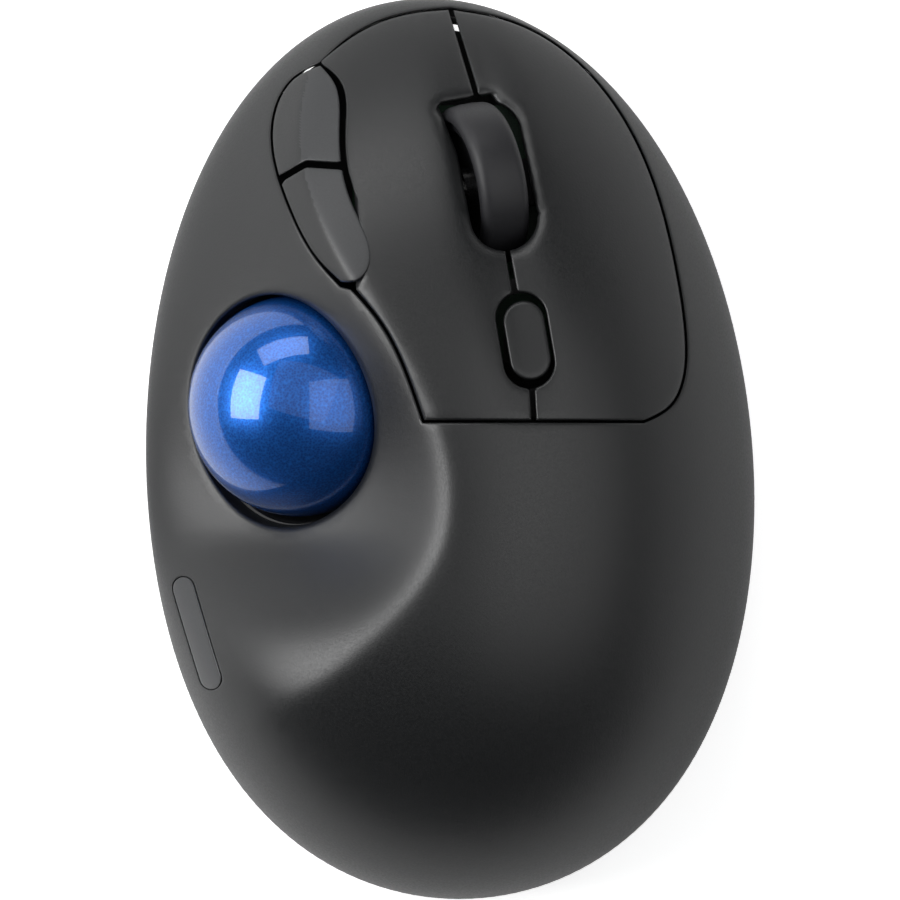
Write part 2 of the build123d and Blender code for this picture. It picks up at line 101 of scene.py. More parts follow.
RIGHT_EDGE = [
    [(29.3, SEAM_Y), (33.6, 6.6), (35.8, 11.4), (36.1, 17.0), (34.9, 26.7), (31.3, 41.4),
     (25.3, 53.6), (15.5, 63.4), (8.7, 66.6), (0.0, 68.3)]]


# ---------------------------------------------------------------- form of the housing

def waist_point(angle, reach):
    """Plan point of the egg-shaped outline; reach is 1 on the waist and 0 in its middle."""
    c, s = math.cos(angle), math.sin(angle)
    low, high = 0.0, 90.0
    for _ in range(32):
        middle = (low + high) / 2
        if plan_reach(WAIST[0] + middle * c - 0.035 * middle * s, WAIST[1] + middle * s) < reach:
            low = middle
        else:
            high = middle
    return WAIST[0] + low * c - 0.035 * low * s, WAIST[1] + low * s


def plan_reach(x, y):
    v = y - WAIST[1]
    u = x - WAIST[0] + 0.035 * v
    a, b = u / (HALF_WIDTH + 0.0183 * u), v / (HALF_LENGTH + 0.0618 * v)
    return math.sqrt(max(a * a + b * b - 0.118 * a * a * b * b, 0.0))


def ridge_x(y):
    """The ridge that swings round the thumb scoop and on past the side buttons."""
    return -11.8 + 11.1 * math.cos(math.pi * (y + 7) / 56) - 0.0149 * min(y + 12, 0) ** 2


def ridge_side(x, y):
    """Distance to the left of the ridge."""
    slope = (ridge_x(y + 0.1) - ridge_x(y - 0.1)) / 0.2
    return (ridge_x(y) - x) / math.hypot(1, slope)


def top_height(x, y, crease=2.2):
    """Height of the top before it rolls over to the waist."""
    lengthways = 0.0038 if y > CREST_Y else 0.0030
    right = 4 * math.log(1 + math.exp(x / 4))
    z = CREST_Z - lengthways * (y - CREST_Y) ** 2 - 0.0065 * right ** 2 - 0.05 * right
    side = ridge_side(x, y)
    side = (side + math.hypot(side, crease)) / 2
    fade = 1 / (1 + math.exp(-(y + 27) / 6))
    z -= 46 * (0.35 + 0.65 * fade) * (1 - math.exp(-side / 40))
    run = min(max(y / 22, 0), 1)
    trough_x = 4.7 + (52.7 - y) * 0.155
    return z - 1.6 * math.exp(-((x - trough_x) / 4.6) ** 2) * run * run * (3 - 2 * run)


def skin_z(x, y, crease=2.2):
    """Height of the outer skin over a plan point."""
    reach = min(plan_reach(x, y), 1.0)
    return WAIST_Z + (top_height(x, y, crease) - WAIST_Z) * math.sqrt(max(1 - reach ** 4, 0))


# ---------------------------------------------------------------- plan outlines

def smooth_run(points, step):
    """Points along a natural cubic curve through the given ones."""
    p = np.array(points, float)
    t = np.concatenate([[0], np.cumsum(np.hypot(*np.diff(p, axis=0).T))])
    n = len(p)
    matrix, right = np.zeros((n, n)), np.zeros((n, 2))
    matrix[0, 0] = matrix[-1, -1] = 1
    h = np.diff(t)
    for i in range(1, n - 1):
        matrix[i, i - 1:i + 2] = h[i - 1], 2 * (h[i - 1] + h[i]), h[i]
        right[i] = 6 * ((p[i + 1] - p[i]) / h[i] - (p[i] - p[i - 1]) / h[i - 1])
    bend = np.linalg.solve(matrix, right)
    result = []
    for u in np.linspace(0, t[-1], max(2, round(t[-1] / step) + 1)):
        i = min(int(np.searchsorted(t, u, side="right")) - 1, n - 2)
        a, b = t[i + 1] - u, u - t[i]
        q = (bend[i] * a ** 3 + bend[i + 1] * b ** 3) / (6 * h[i])
        q += (p[i] / h[i] - bend[i] * h[i] / 6) * a + (p[i + 1] / h[i] - bend[i + 1] * h[i] / 6) * b
        result.append((float(q[0]), float(q[1])))
    return result


def straight_run(points, step):
    result = [points[0]]
    for a, b in zip(points, points[1:]):
        count = max(1, round(math.dist(a, b) / step))
        result += [(a[0] + (b[0] - a[0]) * i / count, a[1] + (b[1] - a[1]) * i / count)
                   for i in range(1, count + 1)]
    return result


def outline(stretches, step=0.7):
    """Closed loop of points from smooth stretches, or straight ones that start with None."""
    loop = []
    for stretch in stretches:
        points = [p for p in stretch if p]
        run = straight_run(points, step) if stretch[0] is None else smooth_run(points, step)
        loop += run[:-1]
    return loop


def pill(centre, width, length, yaw, step=0.5):
    """Closed loop of a slot with round ends, turned anticlockwise from the Y axis."""
    r, half = width / 2, (length - width) / 2
    turns = max(8, round(math.pi * r / step))
    points = [(r * math.cos(math.pi * i / turns), half + r * math.sin(math.pi * i / turns))
              for i in range(turns + 1)]
    points += [(-x, -y) for x, y in points]
    points = straight_run(points + points[:1], step)[:-1]
    c, s = math.cos(math.radians(yaw)), math.sin(math.radians(yaw))
    return [(centre[0] + x * c - y * s, centre[1] + x * s + y * c) for x, y in points]


def drawn_in(loop, amount):
    """An anticlockwise loop moved inwards by amount."""
    result = []
    n = len(loop)
    for i in range(n):
        a, p, b = loop[i - 1], loop[i], loop[(i + 1) % n]
        ax, ay, bx, by = p[0] - a[0], p[1] - a[1], b[0] - p[0], b[1] - p[1]
        la, lb = math.hypot(ax, ay) or 1, math.hypot(bx, by) or 1
        nx, ny = -ay / la - by / lb, ax / la + bx / lb
        share = 2 * amount / max(nx * nx + ny * ny, 1.2)
        result.append((p[0] + nx * share, p[1] + ny * share))
    return result


def inside(points, loop):
    """Which of the points lie in a closed loop."""
    x, y = points[:, 0], points[:, 1]
    result = np.zeros(len(points), bool)
    for (x0, y0), (x1, y1) in zip(loop, loop[1:] + loop[:1]):
        if y0 == y1:
            continue
        crosses = (y0 > y) != (y1 > y)
        result ^= crosses & (x < (x1 - x0) * (y - y0) / (y1 - y0) + x0)
    return result


def distance(points, loop):
    """Shortest plan distance from each point to a closed loop."""
    best = np.full(len(points), 1e9)
    a = np.array(loop)
    b = np.roll(a, -1, axis=0)
    for p, q in zip(a, b):
        d = q - p
        t = np.clip(((points - p) @ d) / max(float(d @ d), 1e-12), 0, 1)
        best = np.minimum(best, np.hypot(*(points - p - t[:, None] * d).T))
    return best


# ---------------------------------------------------------------- meshes

def new_object(name, vertices, faces, materials, face_slots=None):
    """A smooth-shaded object from points in millimetres."""
    mesh = bpy.data.meshes.new(name)
    mesh.from_pydata([Vector(v) * MM for v in vertices], [], faces)
    for material in materials:
        mesh.materials.append(material)
    for i, polygon in enumerate(mesh.polygons):
        polygon.use_smooth = True
        if face_slots:
            polygon.material_index = face_slots[i]
    mesh.update()
    result = bpy.data.objects.new(name, mesh)
    bpy.context.scene.collection.objects.link(result)
    return result


def cloud(spacing):
    """Plan points that sample the skin evenly, in rings where it rolls over to the waist."""
    result = []
    rows = int(150 / spacing)
    for j in range(-rows, rows + 1):
        for i in range(-rows, rows + 1):
            x, y = (i + 0.5 * (j % 2)) * spacing, j * spacing * 0.866
            if abs(x) < 50 and abs(y) < 72 and plan_reach(x, y) < 0.9:
                result.append((x, y))
    for k in range(14):
        rho = 0.72 + 0.0198 * k
        for i in range(WAIST_TURNS):
            result.append(waist_point(2 * math.pi * (i + 0.5 * (k % 2)) / WAIST_TURNS,
                                      math.sin(rho * math.pi / 2)))
    return np.array(result)


def skin_piece(name, outer, holes, points, materials, height=skin_z, slots=None, bevels=()):
    """A moulded plate over the skin: each loop is (points, edge radius, wall), where the wall is
    one offset down from the edge, or whole rows of points. Bevels are (line, radius, share)."""
    loops = [outer] + holes
    plan, edges, rims = [], [], []
    for k, (loop, radius, _) in enumerate(loops):
        turned = loop if k == 0 else loop[::-1]
        start = len(plan)
        plan += turned
        n = len(turned)
        edges += [(start + i, start + (i + 1) % n) for i in range(n)]
        rims.append((start, n))
        for share in (0.06, 0.25, 0.55, 1.0):
            plan += drawn_in(turned, radius * share)
    fixed = np.array(plan)
    keep = inside(points, outer[0])
    for loop, radius, _ in loops:
        keep &= distance(points, loop) > (1.25 * radius + 0.25 if radius > 0.01 else 0.02)
    for loop, _, _ in holes:
        keep &= ~inside(points, loop)
    everything = np.vstack([fixed, points[keep]])
    coords = [Vector(p) for p in everything.tolist()]
    verts, _, faces, origins, _, _ = delaunay_2d_cdt(coords, edges, [], 0, 1e-5)
    found = {i: k for k, sources in enumerate(origins) for i in sources}
    flat = np.array([tuple(v) for v in verts])
    centres = np.array([flat[list(f)].mean(axis=0) for f in faces])
    good = inside(centres, outer[0])
    for loop, _, _ in holes:
        good &= ~inside(centres, loop)
    faces = [tuple(f) for f, ok in zip(faces, good) if ok]
    drop = np.zeros(len(flat))
    for loop, radius, _ in loops:
        drop = np.maximum(drop, fall(flat, loop, radius))
    for line, radius, share in bevels:
        drop = np.maximum(drop, share * fall(flat, line, radius))
    solid = [(x, y, height(x, y) - d) for (x, y), d in zip(flat.tolist(), drop.tolist())]
    for (start, n), (_, _, wall) in zip(rims, loops):
        rim = [found[start + i] for i in range(n)]
        rows = wall if isinstance(wall, list) else [[tuple(a + b for a, b in zip(solid[i], wall))
                                                     for i in rim]]
        for row in rows:
            below = list(range(len(solid), len(solid) + n))
            solid += row
            faces += [(rim[i], below[i], below[(i + 1) % n], rim[(i + 1) % n]) for i in range(n)]
            rim = below
    used = sorted({i for f in faces for i in f})
    index = {old: new for new, old in enumerate(used)}
    faces = [tuple(index[i] for i in f) for f in faces]
    solid = [solid[i] for i in used]
    face_slots = slots and [slots(*np.mean([solid[i][:2] for i in f], axis=0)) for f in faces]
    return new_object(name, solid, faces, materials, face_slots)


def fall(points, line, radius):
    """How far a rounded edge has dropped at each point, by its distance from the line."""
    lack = np.clip(radius - distance(points, line), 0, radius)
    return radius - np.sqrt(np.maximum(radius ** 2 - lack ** 2, 0))


def lathe(name, profile, materials, turns, place, closed=False):
    """A turned piece: profile holds (along, radius) pairs about the local X axis."""
    vertices, faces = [], []
    n = len(profile)
    for i in range(turns):
        angle = 2 * math.pi * i / turns
        vertices += [(a, r * math.cos(angle), r * math.sin(angle)) for a, r in profile]
    for i in range(turns):
        for k in range(n if closed else n - 1):
            m = (k + 1) % n
            j = (i + 1) % turns
            faces.append((i * n + k, j * n + k, j * n + m, i * n + m))
    piece = new_object(name, [place @ Vector(v) for v in vertices], faces, materials)
    return piece


# ---------------------------------------------------------------- materials

def linear(hex_colour):
    """Linear RGBA of an sRGB hex colour."""
    result = []
    for i in (1, 3, 5):
        c = int(hex_colour[i:i + 2], 16) / 255
        result.append(c / 12.92 if c <= 0.04045 else ((c + 0.055) / 1.055) ** 2.4)
    return (*result, 1.0)


def add_node(tree, kind, settings=None, links=None):
    """Add a shader node; settings name its sockets or attributes, links its inputs' sources."""
    node = tree.nodes.new(kind)
    for key, value in (settings or {}).items():
        if key in node.inputs:
            node.inputs[key].default_value = value
        else:
            setattr(node, key, value)
    for key, source in (links or {}).items():
        tree.links.new(source, node.inputs[key])
    return node


def surface(name, colour, settings=None):
    """A material with one principled shader and its object-space coordinate."""
    material = bpy.data.materials.new(name)
    material.use_nodes = True
    tree = material.node_tree
    tree.nodes.clear()
    shader = add_node(tree, "ShaderNodeBsdfPrincipled",
                      {"Base Color": linear(colour), **(settings or {})})
    add_node(tree, "ShaderNodeOutputMaterial", links={"Surface": shader.outputs["BSDF"]})
    place = add_node(tree, "ShaderNodeTexCoord")
    return material, tree, shader, place.outputs["Object"]


def grain_bump(tree, shader, place, size_mm, depth_mm, strength):
    """Fine moulded texture: a noise whose grains are size_mm wide."""
    noise = add_node(tree, "ShaderNodeTexNoise", {"Scale": 1 / (size_mm * MM), "Detail": 2.0},
                     {"Vector": place})
    bump = add_node(tree, "ShaderNodeBump", {"Strength": strength, "Distance": depth_mm * MM},
                    {"Height": noise.outputs["Fac"]})
    tree.links.new(bump.outputs["Normal"], shader.inputs["Normal"])
    return noise


def vary(tree, shader, socket, source, low, high):
    """Drive a shader's socket with a noise, kept between low and high."""
    span = add_node(tree, "ShaderNodeMapRange", {"From Min": 0.3, "From Max": 0.7, "To Min": low,
                                                 "To Max": high}, {"Value": source})
    tree.links.new(span.outputs["Result"], shader.inputs[socket])


def vary_colour(tree, shader, source, dark, light):
    """Drive a shader's colour between two sRGB hex colours."""
    mix = add_node(tree, "ShaderNodeMix", {"data_type": "RGBA"})
    mix.inputs[6].default_value = linear(dark)
    mix.inputs[7].default_value = linear(light)
    tree.links.new(source, mix.inputs[0])
    tree.links.new(mix.outputs[2], shader.inputs["Base Color"])


def moulded_abs(name, colour, light, roughness, grain=0.35):
    """Spark-textured ABS: a satin black with a fine grain that softens every reflection."""
    material, tree, shader, place = surface(name, colour, {"IOR": 1.53, "Roughness": roughness})
    noise = grain_bump(tree, shader, place, grain, 0.03, 0.35)
    vary(tree, shader, "Roughness", noise.outputs["Fac"], roughness - 0.05, roughness + 0.06)
    vary_colour(tree, shader, noise.outputs["Fac"], colour, light)
    return material


def pearl_lacquer(colour):
    """Polished resin ball: blue pearl flake under a clear, hard gloss."""
    material, tree, shader, place = surface(
        "pearl_lacquered_resin", colour,
        {"Metallic": 0.75, "Roughness": 0.34, "Coat Weight": 1.0, "Coat Roughness": 0.03,
         "Coat IOR": 1.5})
    flake = add_node(tree, "ShaderNodeTexVoronoi", {"Scale": 1 / (0.35 * MM)}, {"Vector": place})
    vary_colour(tree, shader, flake.outputs["Distance"], colour, "#1C6FD0")
    return material


def plain_plastic(name, colour, light, roughness, size_mm=0.5):
    """Small injection-moulded part, with the faint mottle of its resin."""
    material, tree, shader, place = surface(name, colour, {"IOR": 1.5, "Roughness": roughness})
    noise = grain_bump(tree, shader, place, size_mm, 0.02, 0.2)
    vary_colour(tree, shader, noise.outputs["Fac"], colour, light)
    return material


def metal(name, colour, light, roughness):
    """Plated or turned steel, with fine handling marks in its gloss."""
    material, tree, shader, place = surface(name, colour, {"Metallic": 1.0, "Roughness": roughness})
    noise = grain_bump(tree, shader, place, 0.4, 0.01, 0.15)
    vary(tree, shader, "Roughness", noise.outputs["Fac"], roughness - 0.04, roughness + 0.08)
    vary_colour(tree, shader, noise.outputs["Fac"], colour, light)
    return material


def clear_lens(colour):
    """Polished acrylic, clear enough to see the chip behind it."""
    material, tree, shader, place = surface(
        "polished_acrylic", colour, {"IOR": 1.49, "Roughness": 0.05, "Transmission Weight": 0.9})
    grain_bump(tree, shader, place, 0.8, 0.005, 0.1)
    return material


def circuit_board(colour):
    """Glass-epoxy board under green solder resist, with its faint weave."""
    material, tree, shader, place = surface("glass_epoxy_board", colour, {"Roughness": 0.4})
    weave = add_node(tree, "ShaderNodeTexBrick", {"Scale": 1 / (1.6 * MM)}, {"Vector": place})
    vary_colour(tree, shader, weave.outputs["Fac"], colour, "#1E5B34")
    return material


def cell_sleeve(colour):
    """Shrunk sleeve of the battery: a grey body and a copper-coloured band at one end."""
    material, tree, shader, place = surface("shrunk_pvc_sleeve", colour, {"Roughness": 0.3})
    low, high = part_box("battery")
    parts = add_node(tree, "ShaderNodeSeparateXYZ", links={"Vector": place})
    edge = add_node(tree, "ShaderNodeMath",
                    {"operation": "GREATER_THAN"}, {0: parts.outputs["Y"]})
    edge.inputs[1].default_value = low[1] + 0.7 * (high[1] - low[1])
    vary_colour(tree, shader, edge.outputs["Value"], colour, "#A8632E")
    return material


def give(material, *nodes):
    """Assign a material to carried-over nodes."""
    for name in nodes:
        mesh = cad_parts[name].data
        mesh.materials.clear()
        mesh.materials.append(material)


# ---------------------------------------------------------------- settings

def size_prop(label, text, default):
    return bpy.props.FloatProperty(name=label, description=text, default=default * MM,
                                   unit="LENGTH", subtype="DISTANCE")


def colour_prop(label, text, default):
    return bpy.props.StringProperty(name=label, description=text, default=default)


class MouseSizes(bpy.types.PropertyGroup):
    """Sizes a user may change."""
    seam: size_prop("Seam", "Half of the gap between two moulded plates", 0.35)
    edge: size_prop("Edge", "Radius on the edges of the moulded plates", 0.45)
    slot_edge: size_prop("Slot edge", "Radius round the wheel slot", 1.5)
    spacing: size_prop("Spacing", "Distance between points on the moulded skin", 1.0)
    ball_radius: size_prop("Ball radius", "Radius of the thumb ball", 17.0)


class MouseColours(bpy.types.PropertyGroup):
    """Colours a user may change, as sRGB hex values."""
    body: colour_prop("Body", "Housing and main buttons", "#131415")
    body_light: colour_prop("Body grain", "High points of the moulded grain", "#1B1C1D")
    # Upper faces of the side buttons: a lighter grey than the body, which is painted light standing in
    # for the lamps on those faces.
    painted_lit_facet: colour_prop("Side facet", "Upper faces of the side buttons", "#272829")
    ball: colour_prop("Ball", "Pearl colour of the thumb ball", "#0A3C8C")
    tyre: colour_prop("Tyre", "Soft tyre of the scroll wheel", "#1C1C1E")
    floor: colour_prop("Floor", "Studio floor", "#F4F4F4")


def sizes():
    return bpy.context.scene.mouse_sizes


def colours():
    return bpy.context.scene.mouse_colours


MADE = {}


def shared(key, make):
    """Make a material or point cloud once and keep it for the other operators."""
    if key not in MADE:
        MADE[key] = make()
    return MADE[key]


def body_material():
    return shared("body", lambda: moulded_abs("spark_textured_abs", colours().body,
                                              colours().body_light, 0.40))


def skin_points():
    return shared("points", lambda: cloud(sizes().spacing / MM))


# ---------------------------------------------------------------- pieces

def rim_loop():
    """Plan loop where the ball's bore meets the skin, anticlockwise."""
    across = RIM_NORMAL.cross(Vector((0, 1, 0))).normalized()
    along = RIM_NORMAL.cross(across)
    loop = []
    for i in range(110):
        angle = 2 * math.pi * i / 110
        start = BALL_C + (across * math.cos(angle) + along * math.sin(angle)) * RIM_R
        low, high = -15.0, 25.0
        for _ in range(40):
            middle = (low + high) / 2
            p = start + RIM_NORMAL * middle
            if p.z < skin_z(p.x, p.y):
                low = middle
            else:
                high = middle
        p = start + RIM_NORMAL * low
        loop.append((p.x, p.y))
    area = sum(a[0] * b[1] - b[0] * a[1] for a, b in zip(loop, loop[1:] + loop[:1]))
    return loop if area > 0 else loop[::-1]


def joined_opening():
    """Outline of the main buttons and the side buttons as one opening in the shell."""
    left = [LEFT_EDGE[0][:-1] + [(-20.0, 59.4)],
            [(-20.0, 59.4)] + SIDE_OPENING[0][1:-1] + [(-16.5, 24.6)],
            [None, (-16.5, 24.6), (-14.9, 24.2)],
            [(-14.9, 24.2)] + LEFT_EDGE[2][1:]]
    return outline(left + [[None, (-4.1, SEAM_Y), (29.3, SEAM_Y)]] + RIGHT_EDGE)


class TRACKBALL_OT_housing(bpy.types.Operator):
    """Palm shell with its roll-over to the parting line"""
    bl_idname = "trackball.housing"
    bl_label = "Housing"

    def execute(self, context):
        edge = sizes().edge / MM
        turns = [2 * math.pi * i / WAIST_TURNS for i in range(WAIST_TURNS)]
        waist = [waist_point(turn, 1.0) for turn in turns]
        skirt = []
        for k in range(1, 7):
            drop = (WAIST_Z - PARTING_Z) * k / 6
            reach = math.cos(drop / UNDERCUT * math.pi / 2)
            skirt.append([(*waist_point(turn, reach), WAIST_Z - drop) for turn in turns])
        holes = [(joined_opening(), edge, (0, 0, -2.2)),
                 (rim_loop(), 0.9, tuple(RIM_NORMAL * -2.5)),
                 (pill(WINDOW_C, 3.7, 17.9, WINDOW_YAW), 0.3, (0, 0, -1.5))]
        shell = skin_piece("palm_shell", (waist, 0.001, skirt), holes, skin_points(),
                           [body_material()])
        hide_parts("upper_housing")
        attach(shell, "housing")
        give(body_material(), "base_housing", "battery_door")
        return {"FINISHED"}


class TRACKBALL_OT_main_buttons(bpy.types.Operator):
    """Left and right button plates, parted by the wheel slot and the resolution button"""
    bl_idname = "trackball.main_buttons"
    bl_label = "Main buttons"

    def execute(self, context):
        seam, edge, slot_edge = (v / MM for v in (sizes().seam, sizes().edge, sizes().slot_edge))
        slot = wheel_opening()
        recess = pill(DPI_C, 7.7, 14.6, DPI_YAW)
        left = outline(LEFT_EDGE + [[None, (-4.1, SEAM_Y), (12.6, SEAM_Y)], [None] + BUTTON_LINE[::-1]])
        right = outline([[None] + BUTTON_LINE, [None, (12.6, SEAM_Y), (29.3, SEAM_Y)]] + RIGHT_EDGE)
        for name, loop in (("left", left), ("right", right)):
            cut = carve(carve(drawn_in(loop, seam), slot), recess)
            if name == "left":
                cut = carve(cut, outline(SIDE_OPENING))
            plate = button_plate(f"{name}_plate", cut, slot, edge, slot_edge)
            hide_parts(f"{name}_button")
            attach(plate, f"{name}_button")
        return {"FINISHED"}


def carve(loop, cutter):
    """The loop with the part inside the cutter replaced by the cutter's own edge."""
    points = np.array(loop)
    within = inside(points, cutter)
    n = len(loop)
    if not within.any():
        return loop
    start = next(i for i in range(n) if within[i - 1] and not within[i])
    order = [(start + i) % n for i in range(n)]
    kept = [loop[i] for i in order if not within[i]]
    first, last = kept[0], kept[-1]
    m = len(cutter)
    a = min(range(m), key=lambda i: math.dist(last, cutter[i]))
    b = min(range(m), key=lambda i: math.dist(first, cutter[i]))
    ways = [[cutter[(a + k) % m] for k in range(1, (b - a) % m)],
            [cutter[(a - k) % m] for k in range(1, (a - b) % m)]]
    inner = [sum(inside(np.array(way), loop)) / max(len(way), 1) if way else -1 for way in ways]
    return kept + ways[0 if inner[0] >= inner[1] else 1]


def wheel_opening():
    """Plan loop of the slot in the plates, widened where the tyre needs its clearance."""
    centre = (6.9, 41.6)
    slot = pill(centre, 10.2, 23.4, WHEEL_YAW)
    to_wheel = wheel_place().inverted()
    loop = []
    for i in range(120):
        angle = 2 * math.pi * i / 120
        reach = np.arange(0.0, 16.0, 0.05)
        line = np.column_stack([centre[0] + reach * math.cos(angle),
                                centre[1] + reach * math.sin(angle)])
        within = inside(line, slot)
        for k, (x, y) in enumerate(line.tolist()):
            if not within[k]:
                p = to_wheel @ Vector((x, y, skin_z(x, y)))
                within[k] = (abs(p.x) < WHEEL_HALF + WHEEL_GAP
                             and math.hypot(p.y, p.z) < WHEEL_R + WHEEL_GAP)
        loop.append(tuple(line[int(np.flatnonzero(within)[-1])].tolist()))
    return loop


def button_plate(name, loop, slot, edge, slot_edge):
    """A main button's plate, with the broad bevel where it borders the wheel slot."""
    return skin_piece(name, (loop, edge, (0, 0, -2)), [], skin_points(), [body_material()],
                      bevels=[(slot, slot_edge, 0.75)])


class TRACKBALL_OT_side_buttons(bpy.types.Operator):
    """Forward and back buttons with a crisp crease between their two faces"""
    bl_idname = "trackball.side_buttons"
    bl_label = "Side buttons"

    def execute(self, context):
        # Upper faces of the side buttons: painted light, a lighter grey than the body for the faces
        # that turn to the lamps; their rougher grain is their own.
        painted_lit_facet = moulded_abs("painted_lit_grained_abs", colours().painted_lit_facet, "#3A3B3D", 0.5)
        loop = drawn_in(outline(SIDE_BUTTONS, 0.5), 0.3)
        height = lambda x, y: skin_z(x, y, 0.8) - 0.1
        for name, sign in (("forward", 1), ("back", -1)):
            half = [p for p in loop if sign * split_side(*p) > 0.5]
            turn = next(i for i in range(len(half)) if math.dist(half[i - 1], half[i]) > 1.5)
            half = half[turn:] + half[:turn]
            line = split_run(sign, half[-1], half[0])
            half += line
            # Faces right of the ridge, the upper faces, take slot 1, the painted-light lighter grey.
            piece = skin_piece(f"{name}_cap", (half, 0.35, (0, 0, -2.5)), [], cloud_near(half),
                               [body_material(), painted_lit_facet], height,
                               lambda x, y: 1 if ridge_side(x, y) < 0.0 else 0)
            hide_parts(f"{name}_button")
            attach(piece, f"{name}_button")
        return {"FINISHED"}


def split_y(x):
    """The line that parts the two side buttons."""
    (x0, y0), (x1, y1), (x2, y2) = SIDE_SPLIT
    return y0 + (y1 - y0) * (x - x0) / (x1 - x0) if x < x1 else y1 + (y2 - y1) * (x - x1) / (x2 - x1)


def split_side(x, y):
    return y - split_y(x)


def split_run(sign, start, end):
    """Points along the split, from one side of a cap to the other."""
    count = max(2, round(abs(end[0] - start[0]) / 0.5))
    return [(start[0] + (end[0] - start[0]) * i / count,
             split_y(start[0] + (end[0] - start[0]) * i / count) + 0.55 * sign)
            for i in range(1, count)]


def cloud_near(loop):
    """Close-set plan points over a small piece."""
    xs, ys = [p[0] for p in loop], [p[1] for p in loop]
    step = 0.45
    return np.array([(min(xs) + i * step, min(ys) + j * step)
                     for i in range(int((max(xs) - min(xs)) / step) + 1)
                     for j in range(int((max(ys) - min(ys)) / step) + 1)])


class TRACKBALL_OT_dpi_button(bpy.types.Operator):
    """Oval button behind the wheel"""
    bl_idname = "trackball.dpi_button"
    bl_label = "Resolution button"

    def execute(self, context):
        loop = pill((DPI_C[0] + 0.3, DPI_C[1]), 6.2, 12.0, DPI_YAW, 0.4)
        cap = skin_piece("resolution_cap", (loop, 0.6, (0, 0, -3)), [], cloud_near(loop),
                         [body_material()])
        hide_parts("dpi_button")
        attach(cap, "dpi_button")
        return {"FINISHED"}


class TRACKBALL_OT_ball(bpy.types.Operator):
    """Thumb ball in its cup"""
    bl_idname = "trackball.ball"
    bl_label = "Thumb ball"

    def execute(self, context):
        radius = sizes().ball_radius / MM
        profile = [(-radius * math.cos(math.pi * i / 96), radius * math.sin(math.pi * i / 96))
                   for i in range(1, 96)]
        profile = [(-radius, 0.001)] + profile + [(radius, 0.001)]
        place = Matrix.Translation(BALL_C) @ Matrix.Rotation(math.radians(90), 4, "Y")
        ball = lathe("pearl_ball", profile, [pearl_lacquer(colours().ball)], 128, place)
        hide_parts("trackball")
        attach(ball, "trackball")
        dark = shared("inner", lambda: plain_plastic("matte_inner_abs", "#0C0C0D", "#141415", 0.6))
        give(dark, "ball_cup", "button_deck", "wheel_cradle", "encoder_body", "encoder_rotor")
        give(plain_plastic("sintered_zirconia", "#E6E3DC", "#F1EFEA", 0.15), "bearing_balls")
        return {"FINISHED"}


class TRACKBALL_OT_wheel(bpy.types.Operator):
    """Scroll wheel: soft tyre with a thin gloss ring on each flank"""
    bl_idname = "trackball.wheel"
    bl_label = "Scroll wheel"

    def execute(self, context):
        half, radius, corner = WHEEL_HALF, WHEEL_R, 1.7
        profile = [(-half + 0.5, radius - 2.3), (-half, radius - 2.1)]
        for i in range(9):
            angle = math.pi / 2 * i / 8
            profile.append((-half + corner - corner * math.cos(angle),
                            radius - 0.12 - corner + corner * math.sin(angle)))
        profile += [(-1.0, radius), (1.0, radius)]
        profile += [(-a, r) for a, r in profile[-3::-1]]
        tyre = lathe("soft_tyre", profile, [rubber(colours().tyre)], 120, wheel_place(), True)
        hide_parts("wheel_tyre")
        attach(tyre, "wheel")
        give(plain_plastic("gloss_hub_abs", "#1A1A1C", "#222224", 0.2), "wheel_hub")
        give(metal("ground_steel_axle", "#B8B8B6", "#C6C6C4", 0.25), "wheel_axle")
        return {"FINISHED"}


def wheel_place():
    """From the wheel's own frame, axle along X, to its leaning place."""
    return (Matrix.Translation(WHEEL_C) @ Matrix.Rotation(math.radians(WHEEL_YAW), 4, "Z")
            @ Matrix.Rotation(math.radians(WHEEL_ROLL), 4, "Y"))


def rubber(colour):
    """Silicone rubber: a soft satin black whose highlights spread wide."""
    material, tree, shader, place = surface("silicone_rubber", colour, {"IOR": 1.41, "Roughness": 0.5})
    noise = grain_bump(tree, shader, place, 0.3, 0.02, 0.25)
    vary(tree, shader, "Roughness", noise.outputs["Fac"], 0.42, 0.56)
    vary_colour(tree, shader, noise.outputs["Fac"], colour, "#27272A")
    return material


class TRACKBALL_OT_window(bpy.types.Operator):
    """Smoked indicator window, without any marks"""
    bl_idname = "trackball.window"
    bl_label = "Indicator window"

    def execute(self, context):
        smoked = plain_plastic("smoked_polycarbonate", "#2A2B2D", "#333436", 0.3)
        loop = pill(WINDOW_C, 3.5, 17.7, WINDOW_YAW, 0.4)
        pane = skin_piece("indicator_pane", (loop, 0.25, (0, 0, -1)), [], cloud_near(loop),
                          [smoked], lambda x, y: skin_z(x, y) - 0.05)
        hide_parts("indicator_window")
        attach(pane, "housing")
        give(plain_plastic("frosted_lamp", "#B9B9B4", "#D8D8D2", 0.3), "indicator_lamps")
        return {"FINISHED"}


